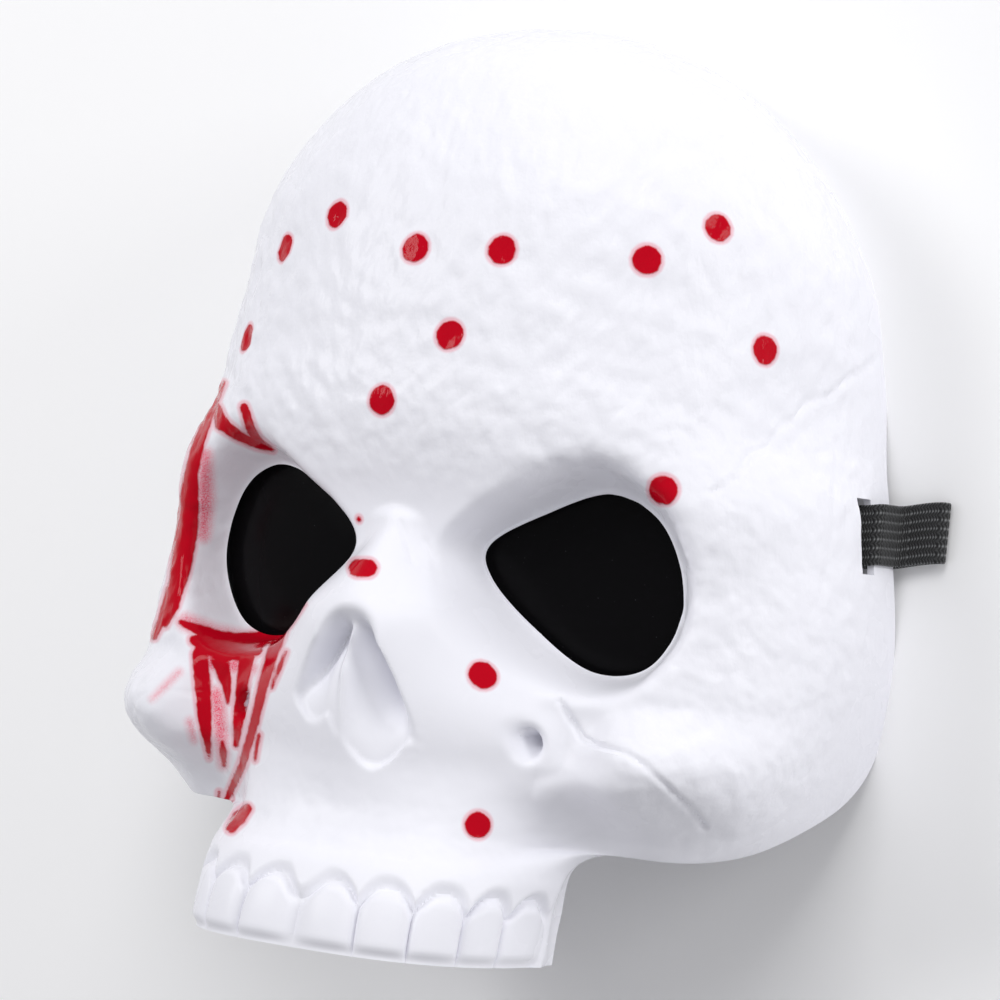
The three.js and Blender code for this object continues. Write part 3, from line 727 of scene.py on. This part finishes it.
def plain_plastic():
    """The bare moulding, as it shows inside the mask and on the trimmed edges."""
    material = bpy.data.materials["plain plastic"]
    material.use_nodes = True
    nodes = material.node_tree.nodes
    shader = nodes["Principled BSDF"]
    shader.inputs["IOR"].default_value = 1.5
    plastic = nodes.new("ShaderNodeGroup")
    plastic.node_tree = plastic_group
    plastic.inputs["Relief"].default_value = 0.5
    bump = nodes.new("ShaderNodeBump")
    bump.inputs["Distance"].default_value = 0.0003
    bump.inputs["Strength"].default_value = 0.5
    link_nodes(material.node_tree, [
        (plastic.outputs["Colour"], shader.inputs["Base Color"]),
        (plastic.outputs["Roughness"], shader.inputs["Roughness"]),
        (plastic.outputs["Height"], bump.inputs["Height"]),
        (bump.outputs["Normal"], shader.inputs["Normal"]),
    ])


def painted_plastic():
    """White plastic with thick glossy red paint over it and a pink haze at its edges."""
    material = bpy.data.materials["painted plastic"]
    material.use_nodes = True
    tree = material.node_tree
    nodes = tree.nodes
    shader = nodes["Principled BSDF"]
    shader.inputs["IOR"].default_value = 1.5
    shader.inputs["Specular IOR Level"].default_value = 0.08
    plastic = nodes.new("ShaderNodeGroup")
    plastic.node_tree = plastic_group
    worked_layer, paint_layer, spray_layer = (nodes.new("ShaderNodeAttribute") for _ in range(3))
    worked_layer.attribute_name = "worked"
    paint_layer.attribute_name = "paint"
    spray_layer.attribute_name = "spray"
    place = nodes.new("ShaderNodeTexCoord")
    ragged, grain = nodes.new("ShaderNodeTexNoise"), nodes.new("ShaderNodeTexNoise")
    ragged.inputs["Scale"].default_value = 420
    ragged.inputs["Detail"].default_value = 2
    grain.inputs["Scale"].default_value = 3500
    grain.inputs["Detail"].default_value = 1
    wavy = nodes.new("ShaderNodeMath")
    wavy.operation = "MULTIPLY_ADD"
    wavy.inputs[1].default_value = 0.7
    cover = nodes.new("ShaderNodeMapRange")
    cover.inputs["From Min"].default_value = 0.55
    cover.inputs["From Max"].default_value = 0.15
    halo = nodes.new("ShaderNodeMapRange")
    halo.interpolation_type = "SMOOTHSTEP"
    halo.inputs["From Min"].default_value = 1.15
    halo.inputs["From Max"].default_value = 0.3
    halo.inputs["To Max"].default_value = 0.42
    mist = nodes.new("ShaderNodeMapRange")
    mist.interpolation_type = "SMOOTHSTEP"
    mist.inputs["From Min"].default_value = 1.4
    mist.inputs["From Max"].default_value = -2.2
    mist.inputs["To Max"].default_value = 1.6
    dusty = nodes.new("ShaderNodeMath")
    dusty.operation = "MULTIPLY"
    haze = nodes.new("ShaderNodeMath")
    haze.operation = "MAXIMUM"
    pink = nodes.new("ShaderNodeMix")
    pink.data_type = "RGBA"
    pink.inputs["B"].default_value = (0.8, 0.09, 0.16, 1)
    red = nodes.new("ShaderNodeMix")
    red.data_type = "RGBA"
    red.inputs["B"].default_value = (0.5, 0.0015, 0.012, 1)
    gloss = nodes.new("ShaderNodeMix")
    gloss.inputs["B"].default_value = 0.09
    relief = nodes.new("ShaderNodeMapRange")
    relief.inputs["To Min"].default_value = 0.12
    thick = nodes.new("ShaderNodeMath")
    thick.operation = "MULTIPLY_ADD"
    thick.inputs[1].default_value = 0.45
    bump = nodes.new("ShaderNodeBump")
    bump.inputs["Distance"].default_value = 0.0005
    bump.inputs["Strength"].default_value = 0.75
    link_nodes(tree, [
        (place.outputs["Object"], ragged.inputs["Vector"]),
        (place.outputs["Object"], grain.inputs["Vector"]),
        (worked_layer.outputs["Fac"], relief.inputs["Value"]),
        (relief.outputs["Result"], plastic.inputs["Relief"]),
        (ragged.outputs["Fac"], wavy.inputs[0]),
        (paint_layer.outputs["Fac"], wavy.inputs[2]),
        (wavy.outputs[0], cover.inputs["Value"]),
        (paint_layer.outputs["Fac"], halo.inputs["Value"]),
        (spray_layer.outputs["Fac"], mist.inputs["Value"]),
        (mist.outputs["Result"], dusty.inputs[0]),
        (grain.outputs["Fac"], dusty.inputs[1]),
        (halo.outputs["Result"], haze.inputs[0]),
        (dusty.outputs[0], haze.inputs[1]),
        (haze.outputs[0], pink.inputs["Factor"]),
        (plastic.outputs["Colour"], pink.inputs["A"]),
        (pink.outputs["Result"], red.inputs["A"]),
        (cover.outputs["Result"], red.inputs["Factor"]),
        (red.outputs["Result"], shader.inputs["Base Color"]),
        (cover.outputs["Result"], gloss.inputs["Factor"]),
        (plastic.outputs["Roughness"], gloss.inputs["A"]),
        (gloss.outputs["Result"], shader.inputs["Roughness"]),
        (cover.outputs["Result"], thick.inputs[0]),
        (plastic.outputs["Height"], thick.inputs[2]),
        (thick.outputs[0], bump.inputs["Height"]),
        (bump.outputs["Normal"], shader.inputs["Normal"]),
    ])


plain_plastic()
painted_plastic()


# Eye covers
# A flat panel of smooth black film stuck behind each eye opening, cut a few
# millimetres larger than the opening. Fine dust lies on its gloss.
film_thickness = 0.6
film_margin = 3.5


def film_material():
    material = bpy.data.materials.new("cover film")
    material.use_nodes = True
    nodes = material.node_tree.nodes
    shader = nodes["Principled BSDF"]
    shader.inputs["IOR"].default_value = 1.15
    place = nodes.new("ShaderNodeTexCoord")
    specks, smear = nodes.new("ShaderNodeTexVoronoi"), nodes.new("ShaderNodeTexNoise")
    specks.inputs["Scale"].default_value = 650
    smear.inputs["Scale"].default_value = 140
    smear.inputs["Detail"].default_value = 4
    dot = nodes.new("ShaderNodeMapRange")
    dot.inputs["From Min"].default_value = 0.085
    dot.inputs["From Max"].default_value = 0.04
    few = nodes.new("ShaderNodeMapRange")
    few.inputs["From Min"].default_value = 0.5
    few.inputs["From Max"].default_value = 0.72
    dust = nodes.new("ShaderNodeMath")
    dust.operation = "MULTIPLY"
    colour = nodes.new("ShaderNodeMix")
    colour.data_type = "RGBA"
    colour.inputs["A"].default_value = (0.0035, 0.0033, 0.0038, 1)
    colour.inputs["B"].default_value = (0.09, 0.09, 0.1, 1)
    rough = nodes.new("ShaderNodeMapRange")
    rough.inputs["To Min"].default_value = 0.12
    rough.inputs["To Max"].default_value = 0.3
    link_nodes(material.node_tree, [
        (place.outputs["Object"], specks.inputs["Vector"]),
        (place.outputs["Object"], smear.inputs["Vector"]),
        (specks.outputs["Distance"], dot.inputs["Value"]),
        (smear.outputs["Fac"], few.inputs["Value"]),
        (dot.outputs["Result"], dust.inputs[0]),
        (few.outputs["Result"], dust.inputs[1]),
        (dust.outputs[0], colour.inputs["Factor"]),
        (colour.outputs["Result"], shader.inputs["Base Color"]),
        (smear.outputs["Fac"], rough.inputs["Value"]),
        (rough.outputs["Result"], shader.inputs["Roughness"]),
    ])
    return material


film = film_material()
for side, name in ((1, "eye_cover_left"), (-1, "eye_cover_right")):
    outline = eye_line(film_margin, side, 180)
    front = film_plane(np.abs(outline[:, 0]), outline[:, 1]) - wall - clearance
    cover = prism(name + "_film", outline, front - film_thickness, front)
    bpy.ops.object.select_all(action="DESELECT")
    cover.select_set(True)
    bpy.context.view_layer.objects.active = cover
    edge = cover.modifiers.new("cut edge", "BEVEL")
    edge.width = 0.12 * MM
    edge.segments = 2
    edge.limit_method = "ANGLE"
    bpy.ops.object.modifier_apply(modifier=edge.name)
    bpy.ops.object.shade_smooth_by_angle(angle=math.radians(35))
    cover.data.materials.append(film)
    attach(cover, "root")
    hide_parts(name)


# Elastic strap
# Black knitted elastic with ribs along it. It lies across the surface inside the mask,
# runs out under each side, folds back, goes in through the slot and is sewn to itself.
strap_rim = 88.108  # half widths of the mask at the strap: at the rim, outside the slot,
strap_outer = 87.849  # inside the slot and inside the rim
strap_inner = 83.025
strap_inner_low = 83.783
strap_loop_reach = 12.0
strap_tail = 7.0
strap_lean = 2.8
rib_count = 7
rib_rise = 0.16


def strap_line():
    outside = strap_thickness / 2 + clearance
    middle = strap_thickness / 2
    tail = middle + strap_thickness + clearance
    top = tail + strap_thickness + clearance
    tip = strap_rim + strap_loop_reach
    over, outer_side = strap_rim + outside, strap_outer + outside
    inner_side, inner_low = strap_inner - outside, strap_inner_low - outside
    b = strap_thickness
    half = [
        (tip - 1.5 * b, middle), (tip - 0.6 * b, middle + 0.3 * b),
        (tip - 0.3 * b, (middle + top) / 2), (tip - 0.6 * b, top - 0.4 * b),
        (tip - 1.5 * b, top), (over + 2.5 * b, top), (over + 0.8 * b, top + 0.7 * b),
        (over + 0.1 * b, top + 2 * b), (outer_side, slot_above_floor - 1.2 * b),
        (outer_side - 0.3 * b, slot_above_floor - 0.3 * b),
        (outer_side - 1.2 * b, slot_above_floor), (inner_side + 1.2 * b, slot_above_floor),
        (inner_side + 0.3 * b, slot_above_floor - 0.3 * b),
        (inner_side, slot_above_floor - 1.2 * b), (inner_low, tail + 2 * b),
        (inner_low + 0.4 * b, tail + 0.5 * b), (inner_low + 1.6 * b, tail),
        (strap_rim + strap_tail, tail),
    ]
    return np.array([(-x, z) for x, z in half[::-1]] + half)


def strap_mesh():
    line = strap_line()
    length = np.concatenate([[0], np.cumsum(np.linalg.norm(np.diff(line, axis=0), axis=1))])
    at = np.linspace(0, length[-1], 420)
    at = np.unique(np.concatenate([at, length]))
    path = np.stack([np.interp(at, length, line[:, k]) for k in (0, 1)], -1)
    blur = path.copy()
    for _ in range(3):
        blur[1:-1] = (blur[:-2] + 2 * blur[1:-1] + blur[2:]) / 4
    along = np.gradient(blur, axis=0)
    along /= np.linalg.norm(along, axis=1, keepdims=True)
    normal = np.stack([-along[:, 1], along[:, 0]], -1)
    per_rib = 6
    v = np.linspace(-0.5, 0.5, rib_count * per_rib + 1)
    phase = (v + 0.5) * rib_count % 1
    crest = np.sqrt(np.maximum(0, 1 - (2 * phase - 1) ** 2))
    half = strap_thickness / 2 - rib_rise + rib_rise * crest
    half[[0, -1]] = strap_thickness * 0.28
    front = np.stack([v * strap_width, half], -1)
    ring = np.concatenate([front, (front * [1, -1])[::-1]])
    ring_uv = np.concatenate([v, v[::-1]])
    outside = smooth(strap_rim - 6, strap_rim + strap_loop_reach, np.abs(blur[:, 0]))
    middle_up = (slot_row - 0.5) * mask_height - (strap_drop - strap_lean * outside)
    points = np.empty((len(at), len(ring), 3))
    points[..., 0] = blur[:, None, 0] + normal[:, None, 0] * ring[None, :, 1]
    points[..., 1] = middle_up[:, None] + ring[None, :, 0]
    points[..., 2] = blur[:, None, 1] + normal[:, None, 1] * ring[None, :, 1]
    count = len(ring)
    k = np.arange(count)
    faces = []
    for i in range(len(at) - 1):
        a, b = i * count + k, i * count + (k + 1) % count
        faces += np.stack([a, b, b + count, a + count], -1).tolist()
    end = (len(at) - 1) * count
    faces += [tuple(range(count - 1, -1, -1)), tuple(range(end, end + count))]
    mesh = bpy.data.meshes.new("elastic_strap_knit")
    mesh.from_pydata((points.reshape(-1, 3) * MM).tolist(), [], faces)
    run = np.repeat(at, count)
    across = np.tile(ring_uv * strap_width, len(at))
    for name, values in (("run", run), ("across", across)):
        layer = mesh.attributes.new(name, "FLOAT", "POINT")
        layer.data.foreach_set("value", values.astype(np.float32))
    return mesh


strap = bpy.data.objects.new("elastic_strap_knit", strap_mesh())
bpy.context.collection.objects.link(strap)
bpy.ops.object.select_all(action="DESELECT")
strap.select_set(True)
bpy.context.view_layer.objects.active = strap
bpy.ops.object.mode_set(mode="EDIT")
bpy.ops.mesh.select_all(action="SELECT")
bpy.ops.mesh.normals_make_consistent(inside=False)
bpy.ops.object.mode_set(mode="OBJECT")
bpy.ops.object.shade_smooth_by_angle(angle=math.radians(60))


def strap_material():
    """Knit wales across each rib, with paler dotted lines of thread between the ribs."""
    material = bpy.data.materials.new("strap elastic")
    material.use_nodes = True
    nodes = material.node_tree.nodes
    shader = nodes["Principled BSDF"]
    shader.inputs["Sheen Weight"].default_value = 0.08
    shader.inputs["Sheen Roughness"].default_value = 0.5
    run, across = nodes.new("ShaderNodeAttribute"), nodes.new("ShaderNodeAttribute")
    run.attribute_name, across.attribute_name = "run", "across"

    def maths(operation, first, second=None, third=None):
        node = nodes.new("ShaderNodeMath")
        node.operation = operation
        for socket, value in zip(node.inputs, (first, second, third)):
            if isinstance(value, (int, float)):
                socket.default_value = value
            elif value is not None:
                material.node_tree.links.new(value, socket)
        return node.outputs[0]

    pitch = strap_width / rib_count
    wale_pitch = 0.75
    rib = maths("MULTIPLY", across.outputs["Fac"], 2 * math.pi / pitch)
    valley = maths("MULTIPLY_ADD", maths("COSINE", rib), -0.5, 0.5)
    bow = maths("ABSOLUTE", maths("SINE", maths("MULTIPLY", rib, 0.5)))
    bowed = maths("MULTIPLY_ADD", bow, 0.5, run.outputs["Fac"])
    wave = maths("SINE", maths("MULTIPLY", bowed, 2 * math.pi / wale_pitch))
    wale = maths("MULTIPLY_ADD", wave, 0.5, 0.5)
    thread = maths("POWER", valley, 6)
    dotted = maths("MULTIPLY", thread, wale)
    tone = maths("MULTIPLY_ADD", dotted, 0.85, maths("MULTIPLY", wale, 0.1))
    colour = nodes.new("ShaderNodeMix")
    colour.data_type = "RGBA"
    colour.inputs["A"].default_value = (0.006, 0.0063, 0.007, 1)
    colour.inputs["B"].default_value = (0.2, 0.205, 0.21, 1)
    rough = nodes.new("ShaderNodeMapRange")
    rough.inputs["To Min"].default_value = 0.85
    rough.inputs["To Max"].default_value = 0.6
    bump = nodes.new("ShaderNodeBump")
    bump.inputs["Distance"].default_value = 0.0002
    bump.inputs["Strength"].default_value = 0.9
    link_nodes(material.node_tree, [
        (tone, colour.inputs["Factor"]),
        (colour.outputs["Result"], shader.inputs["Base Color"]),
        (wale, rough.inputs["Value"]),
        (rough.outputs["Result"], shader.inputs["Roughness"]),
        (wale, bump.inputs["Height"]),
        (bump.outputs["Normal"], shader.inputs["Normal"]),
    ])
    return material


strap.data.materials.append(strap_material())
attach(strap, "root")
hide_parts("elastic_strap")


# Floor and light
# A white studio floor. A large soft light stands past the crown, a smaller box on each side
# draws the highlights on the brows and cheeks, and a weak one in front opens the shadows.
bpy.ops.mesh.primitive_plane_add(size=8, location=(0, 0, 0))
floor = bpy.context.object
floor.name = "floor"
floor_material = bpy.data.materials.new("white floor")
floor_material.use_nodes = True
floor_shader = floor_material.node_tree.nodes["Principled BSDF"]
floor_shader.inputs["Base Color"].default_value = (0.97, 0.97, 0.975, 1)
floor_shader.inputs["Roughness"].default_value = 0.9
floor_shader.inputs["Specular IOR Level"].default_value = 0.1
floor.data.materials.append(floor_material)

light_aim = Vector((0.0, 0.0, 0.05))
lights = [  # name, place in metres, side in metres and power in watts
    ("key", (0.3, 1.05, 1.1), 0.8, 7.7),
    ("left box", (-0.74, 0.4, 0.94), 0.4, 4.8),
    ("right box", (1.1, 0.5, 0.26), 0.4, 4.4),
    ("front fill", (0.9, -0.3, 1.1), 0.8, 1.4),
]
for name, place, size, power in lights:
    lamp_data = bpy.data.lights.new(name, "AREA")
    lamp_data.shape = "SQUARE"
    lamp_data.size = size
    lamp_data.energy = power
    lamp = bpy.data.objects.new(name, lamp_data)
    bpy.context.collection.objects.link(lamp)
    lamp.location = place
    lamp.rotation_euler = (light_aim - Vector(place)).to_track_quat("-Z", "Y").to_euler()

world = bpy.data.worlds.new("studio")
world.use_nodes = True
world.node_tree.nodes["Background"].inputs["Color"].default_value = (0.97, 0.97, 1.0, 1)
world.node_tree.nodes["Background"].inputs["Strength"].default_value = 0.385
bpy.context.scene.world = world
bpy.context.scene.view_settings.view_transform = "Standard"
